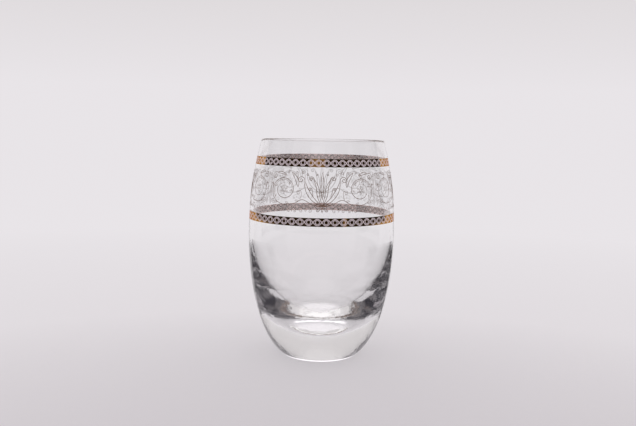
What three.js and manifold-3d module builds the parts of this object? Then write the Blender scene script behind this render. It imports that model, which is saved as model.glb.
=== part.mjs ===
// A barrel-shaped highball glass: one piece of blown glass with a heavy solid base, two etched
// gold bands fired into shallow recesses, and a frieze of scrollwork between the bands, in four
// like panels. Millimetres, +Z up, origin at the centre of the ring that the glass stands on.
import * as THREE from "three";
import { mergeVertices } from "three/addons/utils/BufferGeometryUtils.js";
import Module from "manifold-3d";

// Outside of the glass
const glassHeight = 118;
const rimRadius = 33.2;
const bellyRadius = 39.85;
const bellyHeight = 65.5;
const shoulderPower = 2.23; // how late the side turns in between belly and rim
const hipRise = 1.9; // exponents of the lower curve, a superellipse from the belly to the foot
const hipFullness = 3.18;

// Foot
const footRadius = 20.5; // where the lower curve meets the table, before its edge is softened
const footEdge = 1.4; // height of the softened edge
const standingRing = 6; // width of the flat ring
const puntDepth = 0.9; // hollow under the base

// Inside of the glass
const rimWall = 1.3;
const bellyWall = 1.85;
const baseThickness = 15.5;

// Gold bands, each in a recess etched into the glass
const rimToUpperBand = 9.2;
const upperBandHeight = 4.2;
const bellyToLowerBand = 9.4;
const lowerBandHeight = 4.4;
const goldThickness = 0.2;
const seatClearance = 0.05;

// Frieze of etched lines, drawn on a field between the bands
const panelCount = 4;
const panelGap = 0.6;
const fieldBelowBand = 1;
const fieldAboveBand = 2.4;
const lineWidth = 0.4;
const lineThickness = 0.12;
const lineClearance = 0.15;
const drawnHalf = 1.34; // half width of the drawing below, whose height is 1

// Fineness of the facets
const turnSteps = 48;
const hipSteps = 9;
const shoulderSteps = 3; // for each stretch between two band edges
const lipSteps = 4;
const bowlSteps = 10;
const puntSteps = 3;
const edgeSteps = 4;
const bandSteps = 2;
const leafSteps = 5;
const voluteSteps = 10; // for each turn
const bendStep = 6; // longest edge of a line that is bent round the glass

// Heights and depths that follow from these
const upperBandTop = glassHeight - rimToUpperBand;
const upperBandBottom = upperBandTop - upperBandHeight;
const lowerBandBottom = bellyHeight + bellyToLowerBand;
const lowerBandTop = lowerBandBottom + lowerBandHeight;
const bandRecess = goldThickness + seatClearance;
const lipBase = glassHeight - rimWall / 2;
const footShare = (footRadius / bellyRadius) ** hipFullness;
const hipDepth = bellyHeight / (1 - footShare) ** (1 / hipRise); // where the lower curve would close

const glassMaterial = new THREE.MeshStandardMaterial({
  name: "clear_glass", color: 0xe9eeee, roughness: 0.03, metalness: 0, transparent: true, opacity: 0.35,
});
const goldMaterial = new THREE.MeshStandardMaterial({
  name: "etched_gold", color: 0xc8964f, roughness: 0.25, metalness: 1,
});
const etchedMaterial = new THREE.MeshStandardMaterial({
  name: "etched_lines", color: 0x8f8780, roughness: 0.6, metalness: 0,
});

const point = (x, y) => new THREE.Vector2(x, y); // a radius and a height, or a place in the frieze
const steps = (count, make) => Array.from({ length: count + 1 }, (_, i) => make(i / count));
const lerp = THREE.MathUtils.lerp;

// Outer radius of the shoulder, from the belly up to the rim.
function shoulderRadius(height) {
  const rise = (height - bellyHeight) / (glassHeight - bellyHeight);
  return bellyRadius - (bellyRadius - rimRadius) * rise ** shoulderPower;
}

// Wall thickness from the belly up to the rim.
function wallAt(height) {
  return lerp(bellyWall, rimWall, (height - bellyHeight) / (glassHeight - bellyHeight));
}

// Point of the lower curve: angle 0 is the belly, and larger angles go down and in.
function hipPoint(angle) {
  return point(
    bellyRadius * Math.cos(angle) ** (2 / hipFullness),
    bellyHeight - hipDepth * Math.sin(angle) ** (2 / hipRise),
  );
}

// Angle at which the lower curve reaches a height.
const hipAngle = (height) => Math.asin(((bellyHeight - height) / hipDepth) ** (hipRise / 2));

// Stretch of the shoulder between two heights, set back by a depth.
const shoulder = (from, to, setBack, count) =>
  steps(count, (t) => point(shoulderRadius(lerp(from, to, t)) - setBack, lerp(from, to, t)));

function underside() {
  const ringOuter = footRadius - footEdge;
  const puntRadius = ringOuter - standingRing;
  const punt = steps(puntSteps, (t) => point(puntRadius * t, puntDepth * (1 - t * t)));
  const edge = new THREE.QuadraticBezierCurve(
    point(ringOuter, 0), point(footRadius, 0), hipPoint(hipAngle(footEdge)),
  );
  return [...punt, ...edge.getPoints(edgeSteps).slice(0, -1)];
}

function outside() {
  const hip = steps(hipSteps, (t) => hipPoint(hipAngle(footEdge) * (1 - t)));
  return [
    ...hip,
    ...shoulder(bellyHeight, lowerBandBottom, 0, shoulderSteps).slice(1),
    ...shoulder(lowerBandBottom, lowerBandTop, bandRecess, bandSteps),
    ...shoulder(lowerBandTop, upperBandBottom, 0, shoulderSteps),
    ...shoulder(upperBandBottom, upperBandTop, bandRecess, bandSteps),
    ...shoulder(upperBandTop, lipBase, 0, shoulderSteps),
  ];
}

// Fire-polished lip: half a round from the outer wall to the inner one.
function lip() {
  const outer = shoulderRadius(lipBase);
  const inner = outer - wallAt(lipBase);
  const radius = (outer - inner) / 2;
  return steps(lipSteps, (t) =>
    point(inner + radius + radius * Math.cos(Math.PI * t), lipBase + (rimWall / 2) * Math.sin(Math.PI * t)),
  ).slice(1);
}

function inside() {
  const wall = steps(2 * shoulderSteps, (t) => {
    const height = lerp(lipBase, bellyHeight, t);
    return point(shoulderRadius(height) - wallAt(height), height);
  });
  const bowlRadius = bellyRadius - bellyWall;
  const bowlDepth = bellyHeight - baseThickness;
  const bowl = steps(bowlSteps, (t) => {
    const angle = (t * Math.PI) / 2;
    return point(bowlRadius * Math.cos(angle), bellyHeight - bowlDepth * Math.sin(angle));
  });
  bowl[bowlSteps].x = 0;
  return [...wall.slice(1), ...bowl.slice(1)];
}

// Turns a profile of radii and heights round the Z axis.
function turned(profile) {
  return new THREE.LatheGeometry(profile, turnSteps).rotateX(Math.PI / 2);
}

function part(name, geometry, material) {
  const mesh = new THREE.Mesh(geometry, material);
  mesh.name = name;
  return mesh;
}

// Ring of gold that fills its recess, flush with the glass.
function goldBand(name, bottom, height) {
  const low = bottom + seatClearance;
  const high = bottom + height - seatClearance;
  const back = shoulder(low, high, goldThickness, bandSteps).reverse();
  const face = shoulder(low, high, 0, bandSteps);
  return part(name, turned([...face, ...back, face[0].clone()]), goldMaterial);
}

// Field of one panel: half its width, measured round the middle of its height, and its height.
const fieldBottom = lowerBandTop + fieldAboveBand;
const fieldTop = upperBandBottom - fieldBelowBand;
const fieldHeight = fieldTop - fieldBottom;
const fieldRadius = shoulderRadius((fieldBottom + fieldTop) / 2);
const fieldHalf = (Math.PI * fieldRadius) / panelCount - panelGap / 2;

// Pointed leaf: two bowed lines from its base to its tip, a share of its length apart.
function leaf(base, tip, fullness) {
  const along = tip.clone().sub(base);
  const aside = point(-along.y, along.x).multiplyScalar(fullness);
  const middle = base.clone().lerp(tip, 0.5);
  return [1, -1].map((side) => {
    const control = middle.clone().addScaledVector(aside, side);
    return new THREE.QuadraticBezierCurve(base, control, tip).getPoints(leafSteps);
  });
}

// Volute: a spiral that winds in from an outer radius to an inner one.
function volute(centre, outer, inner, from, turns) {
  const count = Math.round(Math.abs(turns) * voluteSteps);
  return steps(count, (t) => {
    const angle = from + 2 * Math.PI * turns * t;
    const radius = outer * (inner / outer) ** t;
    return point(centre.x + radius * Math.cos(angle), centre.y + radius * Math.sin(angle));
  });
}

// Stem: a smooth line through points, and on into a volute.
function stem(points, curl) {
  const curve = new THREE.SplineCurve([...points, curl[0]]);
  return [...curve.getPoints(points.length * 2), ...curl.slice(1)];
}

// Lines of half a panel, in units of its height: a spray of leaves at the panel's middle, and
// scrolls that run out to its edge.
function halfPanel() {
  const root = point(0, 0.1);
  const fork = point(0.62, 0.05);
  const scroll = volute(point(0.88, 0.48), 0.38, 0.06, -Math.PI / 2, 2.2);
  const branch = scroll[Math.round(voluteSteps * 0.42)];
  const shoot = scroll[Math.round(voluteSteps * 0.75)];
  const upperCurl = volute(point(1.2, 0.82), 0.16, 0.05, Math.PI * 0.8, -1.2);
  const lowerCurl = volute(point(1.21, 0.14), 0.12, 0.04, -Math.PI / 2, 1.2);
  return [
    leaf(root, point(0, 0.96), 0.12)[1],
    ...leaf(root, point(0.36, 0.93), 0.12),
    ...leaf(root, point(0.46, 0.52), 0.14),
    ...leaf(shoot, point(0.6, 0.97), 0.2),
    stem([root, point(0.26, 0.03), fork], scroll),
    stem([branch], upperCurl),
    stem([fork, point(0.96, 0.02)], lowerCurl),
  ];
}

const mirrored = (line) => line.map((spot) => point(-spot.x, spot.y));

// Line of the drawing, fitted to the field, as a flat plate of the line's width.
function linePlate(drawn) {
  const reach = fieldHalf - lineWidth / 2;
  const line = drawn.map(({ x, y }) => point((x / drawnHalf) * reach, y * fieldHeight));
  const edge = (side) => line.map((spot, i) => {
    const ahead = line[Math.min(i + 1, line.length - 1)];
    const behind = line[Math.max(i - 1, 0)];
    const along = ahead.clone().sub(behind).setLength((side * lineWidth) / 2);
    return point(spot.x - along.y, spot.y + along.x);
  });
  const outline = new THREE.Shape([...edge(1), ...edge(-1).reverse()]);
  const plate = new THREE.ExtrudeGeometry(outline, { depth: lineThickness, bevelEnabled: false });
  plate.deleteAttribute("normal");
  plate.deleteAttribute("uv");
  const { attributes, index } = mergeVertices(plate);
  return new wasm.Manifold(new wasm.Mesh({
    numProp: 3,
    vertProperties: Float32Array.from(attributes.position.array),
    triVerts: Uint32Array.from(index.array),
  }));
}

// Halves a flat mesh's edges until none is longer than a step, so that the mesh can be bent.
function halved(points, triangles) {
  const middles = new Map();
  const middleOf = (a, b) => {
    const pair = [Math.min(a, b), Math.max(a, b)].join();
    if (!middles.has(pair)) {
      middles.set(pair, points.push(points[a].clone().lerp(points[b], 0.5)) - 1);
    }
    return middles.get(pair);
  };
  const halve = ([a, b, c]) => {
    const sides = [[a, b, c], [b, c, a], [c, a, b]];
    const spans = sides.map(([from, to]) => points[from].distanceTo(points[to]));
    const longest = Math.max(...spans);
    if (longest <= bendStep) return [[a, b, c]];
    const [from, to, apex] = sides[spans.indexOf(longest)];
    const middle = middleOf(from, to);
    return [...halve([from, middle, apex]), ...halve([middle, to, apex])];
  };
  return triangles.flatMap(halve);
}

// One panel: its lines, joined where they meet and bent round the glass.
function scrollPanel() {
  const half = halfPanel();
  const plates = [...half, ...half.map(mirrored)].map(linePlate);
  const flat = plates.reduce((joined, next) => joined.add(next)).getMesh();
  const points = Array.from({ length: flat.numVert }, (_, i) => new THREE.Vector3(...flat.position(i)));
  const triangles = Array.from({ length: flat.numTri }, (_, i) => flat.verts(i));
  const faces = halved(points, triangles);
  const bent = points.map(({ x, y, z }) => {
    const height = fieldBottom + y;
    const radius = shoulderRadius(height) + lineClearance + z;
    return new THREE.Vector3().setFromCylindricalCoords(radius, x / fieldRadius, height);
  });
  const geometry = new THREE.BufferGeometry().setFromPoints(bent).setIndex(faces.flat());
  return geometry.rotateX(Math.PI / 2);
}

const wasm = await Module();
wasm.setup();

const highballGlass = new THREE.Group();
highballGlass.add(
  part("glass_body", turned([...underside(), ...outside(), ...lip(), ...inside()]), glassMaterial),
  goldBand("upper_gold_band", upperBandBottom, upperBandHeight),
  goldBand("lower_gold_band", lowerBandBottom, lowerBandHeight),
);

const panelGeometry = scrollPanel();
for (let i = 0; i < panelCount; i += 1) {
  const panel = part(`scroll_panel_${i + 1}`, panelGeometry, etchedMaterial);
  panel.rotation.z = (2 * Math.PI * i) / panelCount;
  highballGlass.add(panel);
}

export default highballGlass;
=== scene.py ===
"""A barrel-shaped highball glass: clear glass with a heavy base, two etched gold bands and a frieze
of scrollwork between them, standing on a plain pale table in soft studio light. Metres, +Z up."""
import math

import bpy
import numpy as np
from mathutils import Euler, Matrix, Vector


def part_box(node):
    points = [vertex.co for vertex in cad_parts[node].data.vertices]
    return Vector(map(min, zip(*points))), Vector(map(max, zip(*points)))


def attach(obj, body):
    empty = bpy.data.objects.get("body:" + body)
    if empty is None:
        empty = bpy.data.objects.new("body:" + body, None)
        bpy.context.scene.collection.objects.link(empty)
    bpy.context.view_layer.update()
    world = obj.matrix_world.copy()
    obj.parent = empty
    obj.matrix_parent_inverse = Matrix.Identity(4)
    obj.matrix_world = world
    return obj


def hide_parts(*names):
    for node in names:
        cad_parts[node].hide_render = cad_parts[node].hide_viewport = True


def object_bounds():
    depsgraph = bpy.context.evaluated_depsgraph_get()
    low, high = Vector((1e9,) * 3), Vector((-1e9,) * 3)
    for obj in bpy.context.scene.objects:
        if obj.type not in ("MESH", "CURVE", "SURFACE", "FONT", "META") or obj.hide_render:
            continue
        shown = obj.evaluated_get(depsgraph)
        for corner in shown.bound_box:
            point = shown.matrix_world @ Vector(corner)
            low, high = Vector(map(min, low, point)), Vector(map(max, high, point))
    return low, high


bl_info = {
    "name": "Highball glass",
    "version": (1, 0, 0),
    "blender": (4, 5, 0),
    "location": "3D View > Sidebar > Glass",
    "description": "Models a highball glass with etched gold bands and a scrollwork frieze",
    "category": "Add Mesh",
}

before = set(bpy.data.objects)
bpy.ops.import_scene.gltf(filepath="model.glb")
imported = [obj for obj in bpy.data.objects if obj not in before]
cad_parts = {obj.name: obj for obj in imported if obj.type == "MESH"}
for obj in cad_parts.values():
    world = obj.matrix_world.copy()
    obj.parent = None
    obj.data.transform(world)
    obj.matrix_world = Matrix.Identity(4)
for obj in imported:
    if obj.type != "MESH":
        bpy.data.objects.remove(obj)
CAD_LOW, CAD_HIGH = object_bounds()
GLASS_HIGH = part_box("glass_body")[1]
FRIEZE_LOW, FRIEZE_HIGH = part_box("scroll_panel_1")
BAND_NODES = ("upper_gold_band", "lower_gold_band")
PANEL_NODES = ("scroll_panel_1", "scroll_panel_2", "scroll_panel_3", "scroll_panel_4")
BODY = "root"
MM = 0.001
FULL_TURN = 2 * math.pi
SMOOTH_ANGLE = math.radians(40)

# Steps along the outline of the glass, from the hollow under it round to the floor of the bowl
PUNT_STEPS = 16
EDGE_STEPS = 8
HIP_STEPS = 56
SHOULDER_STEPS = 44
LIP_STEPS = 10
BOWL_STEPS = 56

# Steps along the drawn lines
BOW_STEPS = 10
SPAN_STEPS = 7
RING_STEPS = 10
ARCH_STEPS = 14
STRAND_STEPS = 12
STEPS_PER_TURN = 26

# Steps of the bands' height, and round the screens and the table
BAND_STEPS = 8
SCREEN_STEPS = 24
TABLE_STEPS = 128

# Distances within which points are merged
TURNED_MERGE = MM / 500
DRAWN_MERGE = MM / 2000
LINK_MERGE = MM / 200

# Weight of the frieze's main lines, where a light line weighs 1, and how steeply ends taper
HEAVY = 1.6
TAPER = 3

# Share of its colour that the cloth keeps in its folds, and the table in its fibres
FOLD_SHADE = 0.6
FIBRE_SHADE = 0.985


def size_of(name, description, default):
    """A property that holds a length in metres."""
    return bpy.props.FloatProperty(
        name=name, description=description, default=default, precision=5,
        subtype="DISTANCE", unit="LENGTH",
    )


def number_of(name, description, default):
    """A property that holds a plain number."""
    return bpy.props.FloatProperty(
        name=name, description=description, default=default, subtype="FACTOR",
    )


def count_of(name, description, default):
    """A property that holds a count."""
    return bpy.props.IntProperty(
        name=name, description=description, default=default, subtype="UNSIGNED",
    )


def colour_of(name, description, default):
    """A property that holds a linear colour."""
    return bpy.props.FloatVectorProperty(
        name=name, description=description, default=default, size=3, min=0, max=1,
        subtype="COLOR",
    )


def power_of(name, description, default):
    """A property that holds a lamp's power in watts."""
    return bpy.props.FloatProperty(
        name=name, description=description, default=default, unit="POWER",
    )


def angle_of(name, description, default):
    """A property that holds an angle, given here in degrees."""
    return bpy.props.FloatProperty(
        name=name, description=description, default=math.radians(default),
        subtype="ANGLE", unit="ROTATION",
    )


class GlassSizes(bpy.types.PropertyGroup):
    """Sizes of the turned glass."""

    height: size_of("Height", "From the table to the rim", GLASS_HIGH.z)
    rim_radius: size_of("Rim radius", "Outer radius at the rim", 33.2 * MM)
    belly_radius: size_of("Belly radius", "Outer radius at the widest place", GLASS_HIGH.x)
    belly_height: size_of("Belly height", "Height of the widest place", 65.5 * MM)
    shoulder_power: number_of(
        "Shoulder power", "How late the side turns in towards the rim", 2.23,
    )
    hip_rise: number_of(
        "Hip rise", "Upright exponent of the curve from the belly to the foot", 1.9,
    )
    hip_fullness: number_of(
        "Hip fullness", "Level exponent of the curve from the belly to the foot", 3.18,
    )
    foot_radius: size_of("Foot radius", "Where the lower curve meets the table", 20.5 * MM)
    foot_edge: size_of("Foot edge", "Height of the softened edge of the foot", 1.4 * MM)
    standing_ring: size_of("Standing ring", "Width of the flat ring under the foot", 6 * MM)
    punt_depth: size_of("Punt depth", "Depth of the hollow under the base", 0.9 * MM)
    rim_wall: size_of("Rim wall", "Wall thickness at the rim", 1.3 * MM)
    belly_wall: size_of("Belly wall", "Wall thickness at the belly", 1.85 * MM)
    base_thickness: size_of("Base thickness", "Solid glass under the bowl", 15.5 * MM)
    turn_steps: count_of("Turn steps", "Steps round the glass", 192)


class BandSizes(bpy.types.PropertyGroup):
    """Sizes of the gold bands and their lace."""

    film: size_of("Film", "Depth of the gold in the glass", 0.12 * MM)
    proud: size_of("Proud", "How far the gold stands out of the glass", 0.01 * MM)
    motifs: count_of("Motifs", "Links of the lace round each band", 56)
    lace_width: size_of("Lace width", "Width of the lines of the lace on its back", 0.5 * MM)
    lace_depth: size_of(
        "Lace depth", "Thickness of the lace, which shows on both faces", 0.335 * MM,
    )
    lace_sink: size_of(
        "Lace sink", "How deep in the glass the middle of the lace lies", 0.125 * MM,
    )
    ring_share: number_of(
        "Ring share", "Radius of a link's ring, as a share of the band's height", 0.255,
    )
    wave_share: number_of(
        "Wave share", "Swing of the two strands, as a share of the band's height", 0.39,
    )


class FriezeSizes(bpy.types.PropertyGroup):
    """Sizes of the etched scrollwork."""

    foot: size_of("Foot", "Height at which the frieze starts", FRIEZE_LOW.z)
    head: size_of("Head", "Height at which the frieze ends", FRIEZE_HIGH.z)
    panel_gap: size_of("Panel gap", "Bare glass between two panels", 0.6 * MM)
    line_width: size_of("Line width", "Width of a light line", 0.16 * MM)
    line_relief: size_of(
        "Line relief", "Thickness of the lines, half of it above the glass", 0.1 * MM,
    )


class Finishes(bpy.types.PropertyGroup):
    """Colours of the glass and its decoration."""

    glass: colour_of("Glass", "Tint of the clear glass", (1, 1, 1))
    glass_streak: colour_of(
        "Glass streak", "Tint of the glass in its faint streaks", (0.994, 0.997, 0.996),
    )
    gold: colour_of("Gold", "Burnished gold", (0.59, 0.34, 0.115))
    gold_worn: colour_of("Worn gold", "Gold where it is rubbed", (0.455, 0.255, 0.085))
    gold_edge: colour_of(
        "Gold edge", "Tint of the gold that is seen at a slant", (0.7, 0.42, 0.22),
    )
    # Painted light: the gold's back is far paler than its face. This is partly the glass side's own
    # tint and partly light painted onto inward faces that get little light.
    gold_back_painted_light: colour_of(
        "Gold back", "Back of the gold, seen through the glass", (0.80, 0.66, 0.63),
    )
    gold_back_worn_painted_light: colour_of(
        "Worn gold back", "Back of the gold where it is rubbed", (0.68, 0.55, 0.52),
    )
    lace: colour_of("Lace", "Etched lines in the gold", (0.99, 0.88, 0.92))
    lace_shade: colour_of(
        "Lace shade", "Darker grain of the etched lines", (0.93, 0.81, 0.85),
    )
    lace_back: colour_of(
        "Lace back", "Back of the etched lines, seen through the glass", (0.97, 0.90, 0.88),
    )
    lace_back_shade: colour_of(
        "Lace back shade", "Darker grain of the lines' back", (0.90, 0.82, 0.80),
    )
    etched: colour_of("Etched lines", "Matte lines of the frieze", (0.25, 0.14, 0.095))
    etched_shade: colour_of(
        "Etched shade", "Darker grain of the frieze's lines", (0.16, 0.09, 0.06),
    )
    # Painted light: the back of the frieze's lines is near white though their face is dark brown.
    # The paler back stands in for light on the inward faces.
    etched_back: colour_of(
        "Etched back", "Back of the frieze's lines, seen through the glass", (0.97, 0.92, 0.88),
    )
    etched_back_grain_painted_light: colour_of(
        "Etched back shade", "Darker grain of the lines' back", (0.92, 0.86, 0.81),
    )


class StageSizes(bpy.types.PropertyGroup):
    """The table, the light and the camera."""

    table: colour_of("Table", "Colour of the pale table", (0.80, 0.775, 0.80))
    backdrop: colour_of(
        "Backdrop", "Light and colour of the room behind", (0.81, 0.78, 0.805),
    )
    backdrop_high: colour_of(
        "Backdrop above", "Light and colour of the room higher up", (0.68, 0.648, 0.655),
    )
    glow: colour_of(
        "Glow", "Light that comes up through the table before the glass", (0.585, 0.555, 0.585),
    )
    screen: colour_of(
        "Screen", "Dark screen behind the camera, which the gold mirrors", (0.04, 0.038, 0.05),
    )
    screen_grey: colour_of(
        "Grey screen", "Wings of the screen, and low flags", (0.23, 0.22, 0.23),
    )
    screen_pale: colour_of("Pale screen", "Paler places of the screen", (0.55, 0.52, 0.54))
    table_clear: number_of(
        "Table clearness", "Share of the table's light that comes up through it at the glow", 0.5,
    )
    gathered_light: number_of(
        "Gathered light", "Light that the base gathers on the table under it", 0.5,
    )
    crescent_light: number_of(
        "Crescent light", "Light that the foot's edge gathers before the glass", 1.2,
    )
    glow_before: size_of("Glow before", "How far before the glass the glow's middle lies", 0.25)
    glow_reach: size_of(
        "Glow reach", "Distance from the glow's middle at which it starts to change", 0.1,
    )
    glow_end: size_of(
        "Glow end", "Distance from the glow's middle at which it has the room's colour", 0.35,
    )
    table_end: size_of(
        "Table end", "Distance from the glow's middle at which the table is all light", 0.8,
    )
    table_radius: size_of("Table radius", "Radius of the round table", 4)
    lamp_power: power_of("Lamp power", "Power of the soft box overhead", 2.0)
    lamp_width: size_of("Lamp width", "Width of the soft box", 1.5)
    lamp_height: size_of("Lamp height", "Height of the soft box", 1.1)
    screen_radius: size_of("Screen radius", "Distance of the screen", 1.05)
    screen_height: size_of("Screen height", "Height of the screen", 1.9)
    table_gap: size_of("Table gap", "Air under the foot", 0.3 * MM)
    camera_back: size_of("Camera back", "Distance of the camera from the glass's axis", 0.42905)
    camera_aside: size_of("Camera aside", "How far the camera stands to the left", 2 * MM)
    camera_height: size_of("Camera height", "Height of the camera", 0.12374)
    camera_tilt: angle_of("Camera tilt", "How far the camera looks down", 6.127)
    camera_roll: angle_of("Camera roll", "How far the camera leans", 0.988)
    focal_pixels: number_of(
        "Focal length in pixels", "Focal length in the picture's pixels", 783.86,
    )
    picture_width: count_of("Picture width", "Width of the picture in pixels", 636)


# Shape of the glass


def mix(start, end, share):
    """A value between two others."""
    return start + (end - start) * share


def shares(count):
    """Evenly spaced shares from 0 to 1."""
    return [i / count for i in range(count + 1)]


def shoulder_radius(sizes, height):
    """Outer radius between the belly and the rim."""
    rise = (height - sizes.belly_height) / (sizes.height - sizes.belly_height)
    fall = sizes.belly_radius - sizes.rim_radius
    return sizes.belly_radius - fall * rise ** sizes.shoulder_power


def wall_at(sizes, height):
    """Wall thickness between the belly and the rim."""
    rise = (height - sizes.belly_height) / (sizes.height - sizes.belly_height)
    return mix(sizes.belly_wall, sizes.rim_wall, rise)


def hip_depth(sizes):
    """How far under the belly the lower curve would close, if it went on under the table."""
    foot_share = (sizes.foot_radius / sizes.belly_radius) ** sizes.hip_fullness
    return sizes.belly_height / (1 - foot_share) ** (1 / sizes.hip_rise)


def hip_angle(sizes, height):
    """Angle at which the lower curve reaches a height; 0 is the belly."""
    return math.asin(((sizes.belly_height - height) / hip_depth(sizes)) ** (sizes.hip_rise / 2))


def hip_point(sizes, angle):
    """Radius and height on the lower curve."""
    radius = sizes.belly_radius * math.cos(angle) ** (2 / sizes.hip_fullness)
    return radius, sizes.belly_height - hip_depth(sizes) * math.sin(angle) ** (2 / sizes.hip_rise)


def underside(sizes):
    """Hollow and flat ring under the base, and the softened edge of the foot."""
    ring_outer = sizes.foot_radius - sizes.foot_edge
    punt_radius = ring_outer - sizes.standing_ring
    punt = [(punt_radius * t, sizes.punt_depth * (1 - t * t) ** 2) for t in shares(PUNT_STEPS)]
    end_radius, end_height = hip_point(sizes, hip_angle(sizes, sizes.foot_edge))
    edge = []
    for t in shares(EDGE_STEPS)[:-1]:
        first, second, third = (1 - t) ** 2, 2 * t * (1 - t), t * t
        radius = first * ring_outer + second * sizes.foot_radius + third * end_radius
        edge.append((radius, t * t * end_height))
    return punt + edge


def outside(sizes):
    """Outer wall from the foot to the lip."""
    start = hip_angle(sizes, sizes.foot_edge)
    hip = [hip_point(sizes, start * (1 - t)) for t in shares(HIP_STEPS)]
    lip_base = sizes.height - sizes.rim_wall / 2
    heights = [mix(sizes.belly_height, lip_base, t) for t in shares(SHOULDER_STEPS)[1:]]
    return hip + [(shoulder_radius(sizes, z), z) for z in heights]


def lip(sizes):
    """Fire-polished lip: half a round from the outer wall to the inner one."""
    base = sizes.height - sizes.rim_wall / 2
    outer = shoulder_radius(sizes, base)
    half = wall_at(sizes, base) / 2
    points = []
    for t in shares(LIP_STEPS)[1:]:
        angle = math.pi * t
        radius = outer - half + half * math.cos(angle)
        points.append((radius, base + sizes.rim_wall / 2 * math.sin(angle)))
    return points


def inside(sizes):
    """Inner wall and the round bowl."""
    lip_base = sizes.height - sizes.rim_wall / 2
    heights = [mix(lip_base, sizes.belly_height, t) for t in shares(SHOULDER_STEPS)[1:]]
    wall = [(shoulder_radius(sizes, z) - wall_at(sizes, z), z) for z in heights]
    bowl_radius = sizes.belly_radius - sizes.belly_wall
    bowl_depth = sizes.belly_height - sizes.base_thickness
    bowl = []
    for t in shares(BOWL_STEPS)[1:-1]:
        angle = math.pi / 2 * t
        height = sizes.belly_height - bowl_depth * math.sin(angle)
        bowl.append((bowl_radius * math.cos(angle), height))
    return wall + bowl + [(0, sizes.base_thickness)]


# Modelling by hand


def clear_selection():
    """Goes back to object mode with nothing selected."""
    if bpy.context.object and bpy.context.object.mode != "OBJECT":
        bpy.ops.object.mode_set(mode="OBJECT")
    bpy.ops.object.select_all(action="DESELECT")


def named(name):
    """Gives the active object and its data a name."""
    piece = bpy.context.object
    piece.name = name
    piece.data.name = name
    return piece


def closed_up(distance):
    """Merges the points of the mesh in edit mode that are close, and turns its faces outwards."""
    bpy.ops.mesh.select_all(action="SELECT")
    bpy.ops.mesh.remove_doubles(threshold=distance)
    bpy.ops.mesh.normals_make_consistent(inside=False)
    bpy.ops.object.mode_set(mode="OBJECT")


def turned(name, outline, steps, start=0.0, sweep=FULL_TURN):
    """Draws an outline of radii and heights by extruding a vertex, and spins it round the axis."""
    clear_selection()
    bpy.ops.mesh.primitive_plane_add(size=MM)
    bpy.ops.object.mode_set(mode="EDIT")
    bpy.ops.mesh.select_all(action="SELECT")
    bpy.ops.mesh.merge(type="CENTER")
    radius, height = outline[0]
    bpy.ops.transform.translate(value=(radius, 0, height))
    for next_radius, next_height in outline[1:]:
        step = (next_radius - radius, 0, next_height - height)
        bpy.ops.mesh.extrude_region_move(TRANSFORM_OT_translate={"value": step})
        radius, height = next_radius, next_height
    bpy.ops.mesh.select_all(action="SELECT")
    bpy.ops.transform.rotate(value=-start, orient_axis="Z", center_override=(0, 0, 0))
    bpy.ops.mesh.spin(steps=steps, angle=-sweep, center=(0, 0, 0), axis=(0, 0, 1))
    closed_up(TURNED_MERGE)
    bpy.ops.object.shade_smooth_by_angle(angle=SMOOTH_ANGLE)
    return named(name)


def drawn(name, strokes, width, depth, roundness=0, caps=True):
    """Makes a flat drawing of strokes, each a list of x, y and weight, into a mesh."""
    clear_selection()
    bpy.ops.curve.primitive_bezier_curve_add()
    pen = bpy.context.object
    pen.data.splines.clear()
    pen.data.dimensions = "3D"
    pen.data.twist_mode = "Z_UP"
    pen.data.bevel_depth = width / 2
    pen.data.bevel_resolution = roundness
    pen.data.use_fill_caps = caps
    for stroke in strokes:
        closed = stroke[0][:2] == stroke[-1][:2]
        places = stroke[:-1] if closed else stroke
        spline = pen.data.splines.new("POLY")
        spline.points.add(len(places) - 1)
        spline.use_cyclic_u = closed
        for point, (x, y, weight) in zip(spline.points, places):
            point.co = (x, y, 0, 1)
            point.radius = weight
    bpy.ops.object.convert(target="MESH")
    bpy.ops.object.mode_set(mode="EDIT")
    bpy.ops.mesh.select_all(action="SELECT")
    bpy.ops.transform.resize(value=(1, 1, depth / width), center_override=(0, 0, 0))
    closed_up(DRAWN_MERGE)
    return named(name)


def bend_round(piece, sizes, foot, radius, turn, sunk):
    """Bends a flat drawing round the shoulder: x runs round at a radius, y up from a foot."""
    mesh = piece.data
    flat = np.empty(len(mesh.vertices) * 3)
    mesh.vertices.foreach_get("co", flat)
    across, up, out = flat.reshape(-1, 3).T
    heights = foot + up
    reach = np.array([shoulder_radius(sizes, z) for z in heights]) - sunk + out
    angles = across / radius + turn
    bent = np.column_stack((reach * np.sin(angles), -reach * np.cos(angles), heights))
    mesh.vertices.foreach_set("co", bent.ravel())
    mesh.update()


def dressed(piece, finish, slot, *nodes):
    """Gives a piece its finish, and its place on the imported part."""
    piece.data.materials.clear()
    piece.data.materials.append(finish)
    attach(piece, BODY)
    if nodes:
        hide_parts(*nodes)


def line_back(piece, finish):
    """Gives the faces that look in towards the axis a finish of their own."""
    piece.data.materials.append(finish)
    for face in piece.data.polygons:
        inward = face.normal.x * face.center.x + face.normal.y * face.center.y < 0
        face.material_index = 1 if inward else 0


# Scrollwork, drawn in units of the frieze's height


def weighted(points, start, end):
    """A stroke whose weight falls off towards its ends."""
    last = len(points) - 1
    stroke = []
    for i, (x, y) in enumerate(points):
        share = i / last
        stroke.append((x, y, min(1.0, start + share * TAPER, end + (1 - share) * TAPER)))
    return stroke


def heavier(strokes):
    """Strokes made as heavy as the main lines."""
    return [[(x, y, weight * HEAVY) for x, y, weight in stroke] for stroke in strokes]


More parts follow.
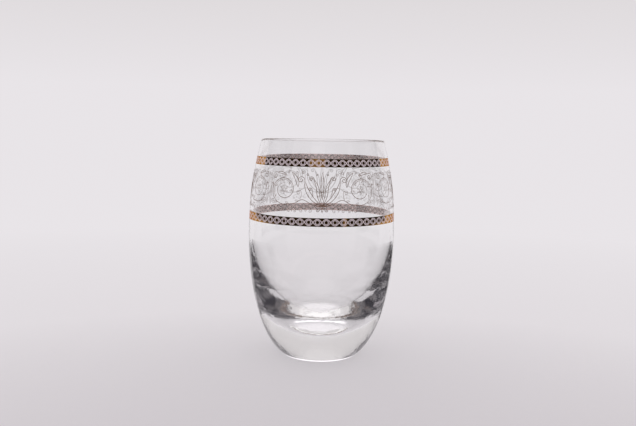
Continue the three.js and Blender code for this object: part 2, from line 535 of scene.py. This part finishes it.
def bowed(base, tip, bow):
    """Points of a line from base to tip that bows aside by a share of its length."""
    along = (tip[0] - base[0], tip[1] - base[1])
    control = (
        (base[0] + tip[0]) / 2 - along[1] * bow,
        (base[1] + tip[1]) / 2 + along[0] * bow,
    )
    points = []
    for t in shares(BOW_STEPS):
        first, second, third = (1 - t) ** 2, 2 * t * (1 - t), t * t
        points.append((
            first * base[0] + second * control[0] + third * tip[0],
            first * base[1] + second * control[1] + third * tip[1],
        ))
    return points


def leaf(base, tip, fullness):
    """Outline of a pointed leaf."""
    return [weighted(bowed(base, tip, fullness * side), 0.5, 0.3) for side in (1, -1)]


def around(centre, radius, angle):
    """A place at a radius and an angle from a centre."""
    return centre[0] + radius * math.cos(angle), centre[1] + radius * math.sin(angle)


def volute(centre, outer, inner, start, turns):
    """Points of a spiral that winds in from an outer radius to an inner one."""
    points = []
    for t in shares(round(abs(turns) * STEPS_PER_TURN)):
        angle = start + FULL_TURN * turns * t
        points.append(around(centre, outer * (inner / outer) ** t, angle))
    return points


def through(points):
    """Points of a smooth line through a few places."""
    line = []
    for i in range(len(points) - 1):
        before = points[max(i - 1, 0)]
        start, end = points[i], points[i + 1]
        after = points[min(i + 2, len(points) - 1)]
        for t in shares(SPAN_STEPS)[:-1]:
            place = []
            for axis in (0, 1):
                lean_in = (end[axis] - before[axis]) / 2
                lean_out = (after[axis] - start[axis]) / 2
                gap = end[axis] - start[axis]
                place.append(
                    start[axis] + lean_in * t + (3 * gap - 2 * lean_in - lean_out) * t * t
                    + (lean_in + lean_out - 2 * gap) * t ** 3
                )
            line.append(tuple(place))
    return line + [points[-1]]


def tendril(stem, *spiral):
    """A thin line through a few places that ends in a spiral."""
    curl = volute(*spiral)
    return weighted(through([*stem, curl[0]])[:-1] + curl, 0.5, 0.5)


def berry(centre, radius, weight=0.8):
    """A small ring."""
    ring = [(*around(centre, radius, FULL_TURN * t), weight) for t in shares(RING_STEPS)]
    ring[-1] = ring[0]
    return ring


def rosette(centre, eye, reach, petals):
    """A flower of pointed petals round an eye."""
    strokes = [berry(centre, eye)]
    for i in range(petals):
        angle = FULL_TURN * (i + 0.5) / petals
        strokes += leaf(around(centre, eye * 1.2, angle), around(centre, reach, angle), 0.42)
    return strokes


def fringe(line, start, end, count, length, lean, fullness):
    """Leaflets along a line that lean out on its right, or on its left with a negative lean."""
    strokes = []
    for i in range(count):
        place = round(mix(start, end, i / (count - 1)) * (len(line) - 2))
        base, ahead = line[place], line[place + 1]
        angle = math.atan2(ahead[1] - base[1], ahead[0] - base[0]) - lean
        strokes += leaf(base, around(base, length, angle), fullness)
    return strokes


def long_leaf(spine, width, curl=None):
    """A long narrow leaf: two lines along a spine that part and meet again, and a curled tip."""
    line = through(spine)
    last = len(line) - 1
    strokes = []
    for side in (1, -1):
        edge = []
        for i, (x, y) in enumerate(line):
            behind, ahead = line[max(i - 1, 0)], line[min(i + 1, last)]
            length = math.hypot(ahead[0] - behind[0], ahead[1] - behind[1])
            swell = side * width * math.sin(math.pi * i / last) / length
            edge.append((x - (ahead[1] - behind[1]) * swell, y + (ahead[0] - behind[0]) * swell))
        strokes.append(weighted(edge, 0.6, 0.5))
    if curl:
        strokes.append(weighted([line[-1], *curl], 0.8, 0.5))
    return strokes


def arch(centre, radius, curl, bud):
    """A C-scroll: a low arch whose two ends curl in, with a bud under it."""
    points = [around(centre, radius, math.pi * t) for t in shares(ARCH_STEPS)]
    right = volute((centre[0] + radius - curl, centre[1]), curl, curl / 4, 0, -1.1)
    left = volute((centre[0] - radius + curl, centre[1]), curl, curl / 4, math.pi, 1.1)
    strokes = [weighted(right[::-1] + points[1:-1] + left, 0.5, 0.5)]
    strokes += leaf((centre[0], centre[1] - bud * 0.2), (centre[0], centre[1] + bud), 0.3)
    return strokes


def plume():
    """Half of the slender plume at a panel's middle, with its calyx and drop."""
    root = (0, 0.15)
    strokes = [weighted(bowed((0, 0.3), (0, 0.97), -0.1), 0.5, 0.3)]
    strokes += long_leaf([root, (0.08, 0.38), (0.11, 0.6), (0.19, 0.79)], 0.03,
                         volute((0.255, 0.8), 0.065, 0.018, math.pi, -1.4))
    strokes += long_leaf([root, (0.2, 0.31), (0.34, 0.53), (0.4, 0.74)], 0.042,
                         volute((0.495, 0.77), 0.095, 0.02, math.pi, -1.6))
    strokes.append(tendril([(0.2, 0.37), (0.22, 0.5)], (0.275, 0.55), 0.045, 0.014, math.pi, -1.3))
    strokes += leaf(root, (0.18, 0.19), 0.2)
    strokes.append(weighted(bowed((0, 0.13), (0, 0.0), 0.28), 0.4, 0.4))
    strokes.append(tendril([(0, 0.13), (0.05, 0.07)], (0.1, 0.05), 0.035, 0.012, math.pi, 1.2))
    strokes.append(berry((0.34, 0.9), 0.022))
    strokes.append(berry((0.12, 0.9), 0.018))
    return strokes


def scroll():
    """The great spiral beside the plume, with its inner line, flower and leaves."""
    centre = (0.9, 0.53)
    spiral = volute(centre, 0.36, 0.15, -math.pi / 2, 1.55)
    inner = volute(centre, 0.31, 0.19, -math.pi / 2 + 0.4, 0.8)
    stem = through([(0, 0.15), (0.22, 0.19), (0.44, 0.3), (0.64, 0.2), spiral[0]])
    strokes = [weighted(inner, 0.3, 0.2)]
    strokes += rosette(centre, 0.03, 0.115, 6)
    strokes += fringe(stem, 0.62, 0.9, 2, 0.1, -0.7, 0.3)
    strokes += fringe(spiral, 0.05, 0.3, 3, 0.12, 0.65, 0.24)
    strokes += fringe(inner, 0.1, 0.9, 5, 0.08, -0.75, 0.3)
    strokes.append(tendril([(0.5, 0.29), (0.47, 0.4)], (0.535, 0.47), 0.065, 0.016, math.pi, -1.6))
    strokes.append(
        tendril([(1.05, 0.21), (1.13, 0.19)], (1.19, 0.25), 0.06, 0.016, -math.pi / 2, 1.5)
    )
    main = [weighted(stem[:-1] + spiral, 0.5, 0.4)]
    main += long_leaf([(0.555, 0.6), (0.59, 0.77), (0.72, 0.95)], 0.035)
    main += long_leaf([(0.86, 0.885), (1.0, 0.93), (1.12, 0.93)], 0.024,
                      volute((1.17, 0.85), 0.095, 0.02, math.pi * 0.68, -1.7))
    return heavier(main) + strokes


def curls():
    """Arches along the foot, and small curls and leaves in the gaps of the scrollwork."""
    strokes = arch((0.36, 0.03), 0.13, 0.035, 0.08)
    strokes += arch((0.68, 0.02), 0.1, 0.03, 0.05)
    strokes += arch((1.12, 0.02), 0.13, 0.035, 0.08)
    strokes.append(tendril([(0.4, 0.74), (0.4, 0.86)], (0.46, 0.94), 0.045, 0.014, math.pi, -1.3))
    strokes.append(tendril([(0.59, 0.77), (0.56, 0.86)], (0.6, 0.94), 0.035, 0.012, math.pi, -1.3))
    strokes += long_leaf([(1.27, 0.16), (1.285, 0.4), (1.28, 0.62)], 0.022)
    strokes += leaf((1.28, 0.64), (1.3, 0.96), 0.12)
    strokes.append(tendril([(1.28, 0.62), (1.26, 0.66)], (1.225, 0.66), 0.03, 0.012, 0, 1.2))
    for place in ((0.8, 0.95), (0.9, 0.045), (0.53, 0.06), (1.29, 0.06)):
        strokes.append(berry(place, 0.018))
    return strokes


def panel_strokes():
    """All strokes of one panel: half of it, and its mirror image."""
    half = heavier(plume()) + scroll() + curls()
    other = [[(-x, y, weight) for x, y, weight in stroke] for stroke in half]
    return half + other


# Finishes


def new_finish(name):
    """A material with its Principled shader."""
    finish = bpy.data.materials.new(name)
    finish.use_nodes = True
    nodes = finish.node_tree.nodes
    return finish, nodes, finish.node_tree.links, nodes["Principled BSDF"]


def grain(nodes, links, scale, stretch=(1, 1, 1)):
    """Noise on object coordinates, stretched along the axes."""
    coordinates = nodes.new("ShaderNodeTexCoord")
    mapping = nodes.new("ShaderNodeMapping")
    noise = nodes.new("ShaderNodeTexNoise")
    mapping.inputs["Scale"].default_value = stretch
    noise.inputs["Scale"].default_value = scale
    noise.inputs["Detail"].default_value = 3.0
    links.new(coordinates.outputs["Object"], mapping.inputs["Vector"])
    links.new(mapping.outputs["Vector"], noise.inputs["Vector"])
    return noise.outputs["Fac"]


def spread(nodes, links, source, low, high, start=0.3, end=0.7):
    """Values from low to high where a source rises from a start to an end."""
    ramp = nodes.new("ShaderNodeMapRange")
    ramp.inputs["From Min"].default_value = start
    ramp.inputs["From Max"].default_value = end
    ramp.inputs["To Min"].default_value = low
    ramp.inputs["To Max"].default_value = high
    links.new(source, ramp.inputs["Value"])
    return ramp.outputs["Result"]


def two_tones(nodes, links, source, first, second, start=0.3, end=0.7):
    """Blends two colours where a source rises from a start to an end."""
    blend = nodes.new("ShaderNodeMix")
    blend.data_type = "RGBA"
    blend.inputs["A"].default_value = (*first, 1)
    blend.inputs["B"].default_value = (*second, 1)
    links.new(spread(nodes, links, source, 0, 1, start, end), blend.inputs["Factor"])
    return blend.outputs["Result"]


def bumped(nodes, links, shader, source, distance, strength):
    """Raises a shader's surface by a noise."""
    bump = nodes.new("ShaderNodeBump")
    bump.inputs["Distance"].default_value = distance
    bump.inputs["Strength"].default_value = strength
    links.new(source, bump.inputs["Height"])
    links.new(bump.outputs["Normal"], shader.inputs["Normal"])


def combined(nodes, links, operation, first, second):
    """One value made of two by a sum, a product or a comparison."""
    step = nodes.new("ShaderNodeMath")
    step.operation = operation
    links.new(first, step.inputs[0])
    links.new(second, step.inputs[1])
    return step.outputs["Value"]


def clear_glass(finishes, sizes):
    """Clear glass with faint streaks, and the slow ripples of the thick base."""
    finish, nodes, links, shader = new_finish("clear_glass")
    shader.inputs["Roughness"].default_value = 0.0
    shader.inputs["IOR"].default_value = 1.5
    shader.inputs["Transmission Weight"].default_value = 1.0
    streaks = grain(nodes, links, scale=40, stretch=(1, 1, 0.2))
    tint = two_tones(nodes, links, streaks, finishes.glass, finishes.glass_streak)
    links.new(tint, shader.inputs["Base Color"])
    ripples = grain(nodes, links, scale=150, stretch=(1, 1, 0.6))
    place = nodes.new("ShaderNodeTexCoord")
    split = nodes.new("ShaderNodeSeparateXYZ")
    links.new(place.outputs["Object"], split.inputs["Vector"])
    height = split.outputs["Z"]
    low = spread(nodes, links, height, 1, 0, sizes.base_thickness, sizes.belly_height)
    swell = combined(nodes, links, "MULTIPLY", ripples, low)
    bumped(nodes, links, shader, swell, distance=0.18 * MM, strength=1.0)
    return finish


def burnished_gold(name, first, second, edge):
    """Polished gold with rubbed patches, tinted where it is seen at a slant."""
    finish, nodes, links, shader = new_finish(name)
    shader.inputs["Metallic"].default_value = 1.0
    shader.inputs["Specular Tint"].default_value = (*edge, 1)
    patches = grain(nodes, links, scale=220, stretch=(1, 1, 1.6))
    links.new(two_tones(nodes, links, patches, first, second), shader.inputs["Base Color"])
    brushing = grain(nodes, links, scale=900, stretch=(1, 1, 4))
    links.new(spread(nodes, links, brushing, low=0.03, high=0.1), shader.inputs["Roughness"])
    bumped(nodes, links, shader, brushing, distance=0.004 * MM, strength=0.4)
    return finish


def matte_lines(name, first, second, scale):
    """Etched lines: a matte, finely grained surface."""
    finish, nodes, links, shader = new_finish(name)
    grains = grain(nodes, links, scale)
    links.new(two_tones(nodes, links, grains, first, second), shader.inputs["Base Color"])
    links.new(spread(nodes, links, grains, low=0.5, high=0.75), shader.inputs["Roughness"])
    shader.inputs["Specular IOR Level"].default_value = 0.1
    bumped(nodes, links, shader, grains, distance=0.01 * MM, strength=0.5)
    return finish


def reflected_cloth(name, colour):
    """Cloth that only mirrored light shows, so it dims neither the room nor what glass lets by."""
    finish, nodes, links, shader = new_finish(name)
    folds = grain(nodes, links, scale=4)
    shade = [channel * FOLD_SHADE for channel in colour]
    links.new(two_tones(nodes, links, folds, colour, shade), shader.inputs["Base Color"])
    shader.inputs["Roughness"].default_value = 0.9
    path = nodes.new("ShaderNodeLightPath")
    # One mirroring is enough before light has met a matte surface, and no number is after that
    once, never = 0.5, 99
    needed = spread(nodes, links, path.outputs["Diffuse Depth"], once, never, 0, 1)
    mirrored = combined(nodes, links, "GREATER_THAN", path.outputs["Glossy Depth"], needed)
    clear = nodes.new("ShaderNodeBsdfTransparent")
    choice = nodes.new("ShaderNodeMixShader")
    links.new(mirrored, choice.inputs["Fac"])
    links.new(clear.outputs["BSDF"], choice.inputs[1])
    links.new(shader.outputs["BSDF"], choice.inputs[2])
    links.new(choice.outputs["Shader"], nodes["Material Output"].inputs["Surface"])
    return finish


# Pieces


class GLASS_OT_blow_body(bpy.types.Operator):
    """Spins the glass with its solid base, belly and fire-polished lip"""

    bl_idname = "glass.blow_body"
    bl_label = "Blow the glass body"

    def execute(self, context):
        sizes = context.scene.glass_sizes
        outline = underside(sizes) + outside(sizes) + lip(sizes) + inside(sizes)
        body = turned("blown_glass", outline, sizes.turn_steps)
        finish = clear_glass(context.scene.glass_finishes, sizes)
        dressed(body, finish, "clear_glass", "glass_body")
        return {"FINISHED"}


class GLASS_OT_fire_bands(bpy.types.Operator):
    """Fires the two gold bands into the glass, each with its lace of etched rings"""

    bl_idname = "glass.fire_bands"
    bl_label = "Fire the gold bands"

    def execute(self, context):
        sizes = context.scene.glass_sizes
        bands = context.scene.glass_bands
        finishes = context.scene.glass_finishes
        gold = burnished_gold(
            "burnished_gold", finishes.gold, finishes.gold_worn, finishes.gold_edge,
        )
        # The back of the gold is a paler copy of the gold: partly its own tint, partly painted
        # light on the faces that look inward.
        back = burnished_gold(
            "gold_back_painted_light", finishes.gold_back_painted_light, finishes.gold_back_worn_painted_light, finishes.gold_edge,
        )
        etched = matte_lines("etched_lace", finishes.lace, finishes.lace_shade, scale=1500)
        etched_back = matte_lines(
            "etched_lace_back", finishes.lace_back, finishes.lace_back_shade, scale=1500,
        )
        for node in BAND_NODES:
            low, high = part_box(node)
            ground = self.ground(node + "_ground", sizes, bands, low.z, high.z)
            dressed(ground, gold, "etched_gold", node)
            line_back(ground, back)
            lace = self.lace(node + "_lace", sizes, bands, low.z, high.z)
            dressed(lace, etched, "etched_gold")
            line_back(lace, etched_back)
        return {"FINISHED"}

    def ground(self, name, sizes, bands, low, high):
        """Ring of gold that follows the shoulder, just proud of the glass."""
        heights = [mix(low, high, t) for t in shares(BAND_STEPS)]
        face = [(shoulder_radius(sizes, z) + bands.proud, z) for z in heights]
        back = [(shoulder_radius(sizes, z) - bands.film, z) for z in reversed(heights)]
        return turned(name, face + back + face[:1], sizes.turn_steps)

    def lace(self, name, sizes, bands, low, high):
        """Links of lace: rings between two strands that cross from link to link."""
        height = high - low
        radius = shoulder_radius(sizes, (low + high) / 2)
        pitch = FULL_TURN * radius / bands.motifs
        middle = (pitch / 2, height / 2)
        strokes = [berry(middle, bands.ring_share * height, 1)]
        for side in (1, -1):
            swing = side * bands.wave_share * height
            strokes.append([
                (pitch * t, middle[1] + swing * math.sin(math.pi * t), 1)
                for t in shares(STRAND_STEPS)
            ])
        piece = drawn(
            name, strokes, bands.lace_width, bands.lace_depth, roundness=1, caps=False,
        )
        bpy.ops.object.modifier_add(type="ARRAY")
        links = piece.modifiers[-1]
        links.count = bands.motifs
        links.use_relative_offset = False
        links.use_constant_offset = True
        links.constant_offset_displace = (pitch, 0, 0)
        bpy.ops.object.modifier_apply(modifier=links.name)
        bend_round(piece, sizes, low, radius, turn=0, sunk=bands.lace_sink)
        bpy.ops.object.mode_set(mode="EDIT")
        closed_up(LINK_MERGE)
        return piece


class GLASS_OT_etch_frieze(bpy.types.Operator):
    """Draws the scrollwork once, and bends a copy of it round each quarter of the glass"""

    bl_idname = "glass.etch_frieze"
    bl_label = "Etch the frieze"

    def execute(self, context):
        sizes = context.scene.glass_sizes
        frieze = context.scene.glass_frieze
        finishes = context.scene.glass_finishes
        main_line = HEAVY * frieze.line_width
        height = frieze.head - frieze.foot - main_line
        foot = frieze.foot + main_line / 2
        radius = shoulder_radius(sizes, (frieze.foot + frieze.head) / 2)
        half = math.pi * radius / len(PANEL_NODES) - frieze.panel_gap / 2
        drawing = panel_strokes()
        reach = max(x for stroke in drawing for x, y, weight in stroke)
        across = (half - main_line / 2) / reach
        strokes = [
            [(x * across, y * height, weight) for x, y, weight in stroke] for stroke in drawing
        ]
        finish = matte_lines("etched_lines", finishes.etched, finishes.etched_shade, scale=1200)
        # The lines' back is a near-white copy of the dark lines: painted light on the faces that
        # look inward.
        back = matte_lines(
            "etched_lines_back_painted_light", finishes.etched_back, finishes.etched_back_grain_painted_light, scale=1200,
        )
        pattern = drawn("scroll_pattern", strokes, frieze.line_width, frieze.line_relief)
        for i, node in enumerate(PANEL_NODES):
            clear_selection()
            pattern.select_set(True)
            context.view_layer.objects.active = pattern
            bpy.ops.object.duplicate()
            panel = named("etched_" + node)
            bend_round(panel, sizes, foot, radius, FULL_TURN * i / len(PANEL_NODES), sunk=0)
            dressed(panel, finish, "etched_lines", node)
            line_back(panel, back)
        bpy.data.objects.remove(pattern)
        return {"FINISHED"}


# Stage


class GLASS_OT_set_stage(bpy.types.Operator):
    """Sets the table, the screens that gold and glass mirror, the room, the lamp and the camera"""

    bl_idname = "glass.set_stage"
    bl_label = "Set the stage"

    def execute(self, context):
        stage = context.scene.glass_stage
        self.table(stage)
        self.screens(stage)
        self.room(context, stage)
        self.lamp(stage)
        self.camera(context, stage)
        context.scene.view_settings.view_transform = "Standard"
        bounces = context.scene.cycles
        bounces.max_bounces = 32
        bounces.glossy_bounces = 24
        bounces.transmission_bounces = 24
        return {"FINISHED"}

    def table(self, stage):
        """A pale round table that fades into the room."""
        clear_selection()
        bpy.ops.mesh.primitive_circle_add(
            vertices=TABLE_STEPS, radius=stage.table_radius, fill_type="NGON",
            location=(0, 0, -stage.table_gap),
        )
        table = bpy.context.object
        table.name = "table"
        finish, nodes, links, shader = new_finish("table")
        coordinates = nodes.new("ShaderNodeTexCoord")
        distance = nodes.new("ShaderNodeVectorMath")
        distance.operation = "DISTANCE"
        distance.inputs[1].default_value = (0, -stage.glow_before, 0)
        links.new(coordinates.outputs["Object"], distance.inputs[0])
        away = distance.outputs["Value"]
        fibres = grain(nodes, links, scale=300)
        darker = [channel * FIBRE_SHADE for channel in stage.table]
        paper = two_tones(nodes, links, fibres, stage.table, darker)
        lit = spread(nodes, links, away, stage.table_clear, 1, stage.glow_reach, stage.table_end)
        body = nodes.new("ShaderNodeMix")
        body.data_type = "RGBA"
        body.inputs["B"].default_value = (0, 0, 0, 1)
        links.new(lit, body.inputs["Factor"])
        links.new(paper, body.inputs["A"])
        links.new(body.outputs["Result"], shader.inputs["Base Color"])
        gathered = self.gathered(nodes, links, coordinates.outputs["Object"], stage)
        glow = two_tones(
            nodes, links, away, stage.glow, stage.backdrop, stage.glow_reach, stage.glow_end,
        )
        links.new(glow, shader.inputs["Emission Color"])
        links.new(combined(nodes, links, "ADD", lit, gathered), shader.inputs["Emission Strength"])
        shader.inputs["Roughness"].default_value = 1.0
        shader.inputs["Specular IOR Level"].default_value = 0.0
        table.data.materials.append(finish)

    def gathered(self, nodes, links, place, stage):
        """Light gathered on the table: a pool under the glass and a crescent before its foot."""
        pool_whole, pool_end = 12 * MM, 20.5 * MM
        rise_start, rise_end = 17.6 * MM, 18.4 * MM
        fall_start, fall_end = 19.2 * MM, 20.2 * MM
        front_whole, front_end = -10 * MM, -2 * MM
        distance = nodes.new("ShaderNodeVectorMath")
        distance.operation = "LENGTH"
        links.new(place, distance.inputs[0])
        radius = distance.outputs["Value"]
        split = nodes.new("ShaderNodeSeparateXYZ")
        links.new(place, split.inputs["Vector"])
        pool = spread(nodes, links, radius, stage.gathered_light, 0, pool_whole, pool_end)
        rise = spread(nodes, links, radius, 0, stage.crescent_light, rise_start, rise_end)
        fall = spread(nodes, links, radius, 1, 0, fall_start, fall_end)
        front = spread(nodes, links, split.outputs["Y"], 1, 0, front_whole, front_end)
        ring = combined(nodes, links, "MULTIPLY", rise, fall)
        crescent = combined(nodes, links, "MULTIPLY", ring, front)
        return combined(nodes, links, "ADD", pool, crescent)

    def screens(self, stage):
        """Dark, grey and pale cloths behind the camera and beside the glass, and two low flags."""
        dark = reflected_cloth("dark_cloth", stage.screen)
        grey = reflected_cloth("grey_cloth", stage.screen_grey)
        pale = reflected_cloth("pale_cloth", stage.screen_pale)
        wall = stage.screen_radius
        top = stage.screen_height
        hem, skirt = 0.1, 0.35
        low, middle, high = 0.38, 0.66, 0.8
        wing, wing_hem = 0.5, 0.12
        floor_start, floor_height = 0.75, 0.002
        flag_near, flag_far = 0.07, 0.15
        flag_foot, flag_head = 0.001, 0.042
        # Name, cloth, first and last direction in degrees, foot and head
        upright = (
            ("screen_left", dark, -55, -22, skirt, top),
            ("screen_right", dark, 22, 47, skirt, top),
            ("skirt_left", grey, -55, -22, hem, skirt),
            ("skirt_right", grey, 22, 47, hem, skirt),
            ("hem_left", dark, -55, -22, 0, hem),
            ("hem_right", dark, 22, 33, 0, hem),
            ("hem_far_right", dark, 38, 55, 0, hem),
            ("screen_low", dark, -22, 22, 0, low),
            ("screen_middle", dark, 4, 22, low, middle),
            ("screen_high", dark, -22, 22, middle, high),
            ("grey_place_high", grey, -22, 22, high, top),
            ("screen_above", dark, 47, 55, hem, top),
            ("wing_left", grey, -116, -55, wing, top),
            ("wing_right", grey, 55, 116, wing, top),
            ("wing_low_left", dark, -116, -55, 0, wing),
            ("wing_low_right", dark, 55, 116, 0, wing),
            ("wing_end", grey, -124, -116, 0, wing_hem),
            ("pale_place_middle", pale, -22, 4, low, middle),
            ("pale_place_right", pale, 33, 38, 0, hem),
        )
        for name, cloth, first, last, foot, head in upright:
            self.screen(name, cloth, first, last, [(wall, foot), (wall, head)])
        floor = [(floor_start, floor_height), (wall, floor_height)]
        flag = [(flag_near, flag_foot), (flag_far, flag_foot), (flag_far, flag_head)]
        self.screen("dark_floor", dark, -75, 75, floor)
        self.screen("flag_left", grey, -132, -70, flag)
        self.screen("flag_right", grey, 70, 141, flag)

    def screen(self, name, cloth, first, last, outline):
        """A round screen between two directions, in degrees from the camera's side."""
        start = math.radians(first - 90)
        screen = turned(name, outline, SCREEN_STEPS, start, math.radians(last - first))
        screen.data.materials.append(cloth)

    def room(self, context, stage):
        """A pale room, a little darker higher up."""
        haze_start, haze_end = 0.05, 0.25
        world = bpy.data.worlds.new("pale_room")
        context.scene.world = world
        world.use_nodes = True
        nodes = world.node_tree.nodes
        links = world.node_tree.links
        coordinates = nodes.new("ShaderNodeTexCoord")
        split = nodes.new("ShaderNodeSeparateXYZ")
        links.new(coordinates.outputs["Generated"], split.inputs["Vector"])
        colour = two_tones(
            nodes, links, split.outputs["Z"], stage.backdrop, stage.backdrop_high,
            haze_start, haze_end,
        )
        links.new(colour, nodes["Background"].inputs["Color"])

    def lamp(self, stage):
        """A round soft box overhead that shines at the glass's middle."""
        clear_selection()
        place = Vector((0, 0, stage.lamp_height))
        aim = ((CAD_LOW + CAD_HIGH) / 2 - place).to_track_quat("-Z", "Y")
        bpy.ops.object.light_add(type="AREA", location=place, rotation=aim.to_euler())
        lamp = bpy.context.object
        lamp.name = "soft_box"
        lamp.data.shape = "DISK"
        lamp.data.size = stage.lamp_width
        lamp.data.energy = stage.lamp_power
        lamp.visible_camera = False

    def camera(self, context, stage):
        """The camera, just above the rim and looking a little down."""
        clear_selection()
        place = (-stage.camera_aside, -stage.camera_back, stage.camera_height)
        tilt = Euler((math.pi / 2 - stage.camera_tilt, 0, 0)).to_matrix()
        turn = tilt @ Matrix.Rotation(stage.camera_roll, 3, "Z")
        bpy.ops.object.camera_add(location=place, rotation=turn.to_euler())
        camera = bpy.context.object
        camera.data.sensor_width = 36
        camera.data.lens = stage.focal_pixels / stage.picture_width * camera.data.sensor_width
        camera.data.clip_start = 0.01
        context.scene.camera = camera


class GLASS_PT_workshop(bpy.types.Panel):
    """Steps that make the glass, in order"""

    bl_idname = "GLASS_PT_workshop"
    bl_label = "Highball glass"
    bl_space_type = "VIEW_3D"
    bl_region_type = "UI"
    bl_category = "Glass"

    def draw(self, context):
        for operator in OPERATORS:
            self.layout.operator(operator.bl_idname)


OPERATORS = (GLASS_OT_blow_body, GLASS_OT_fire_bands, GLASS_OT_etch_frieze, GLASS_OT_set_stage)
GROUPS = {
    "glass_sizes": GlassSizes,
    "glass_bands": BandSizes,
    "glass_frieze": FriezeSizes,
    "glass_finishes": Finishes,
    "glass_stage": StageSizes,
}


def register():
    """Registers the properties, the operators and the panel."""
    for name, group in GROUPS.items():
        bpy.utils.register_class(group)
        setattr(bpy.types.Scene, name, bpy.props.PointerProperty(type=group))
    for operator in OPERATORS:
        bpy.utils.register_class(operator)
    bpy.utils.register_class(GLASS_PT_workshop)


def unregister():
    """Takes everything out again, in the opposite order."""
    bpy.utils.unregister_class(GLASS_PT_workshop)
    for operator in reversed(OPERATORS):
        bpy.utils.unregister_class(operator)
    for name, group in reversed(GROUPS.items()):
        delattr(bpy.types.Scene, name)
        bpy.utils.unregister_class(group)


def main():
    """Makes the glass and its stage."""
    register()
    bpy.ops.glass.blow_body()
    bpy.ops.glass.fire_bands()
    bpy.ops.glass.etch_frieze()
    bpy.ops.glass.set_stage()
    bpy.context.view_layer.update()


if __name__ == "__main__":
    main()
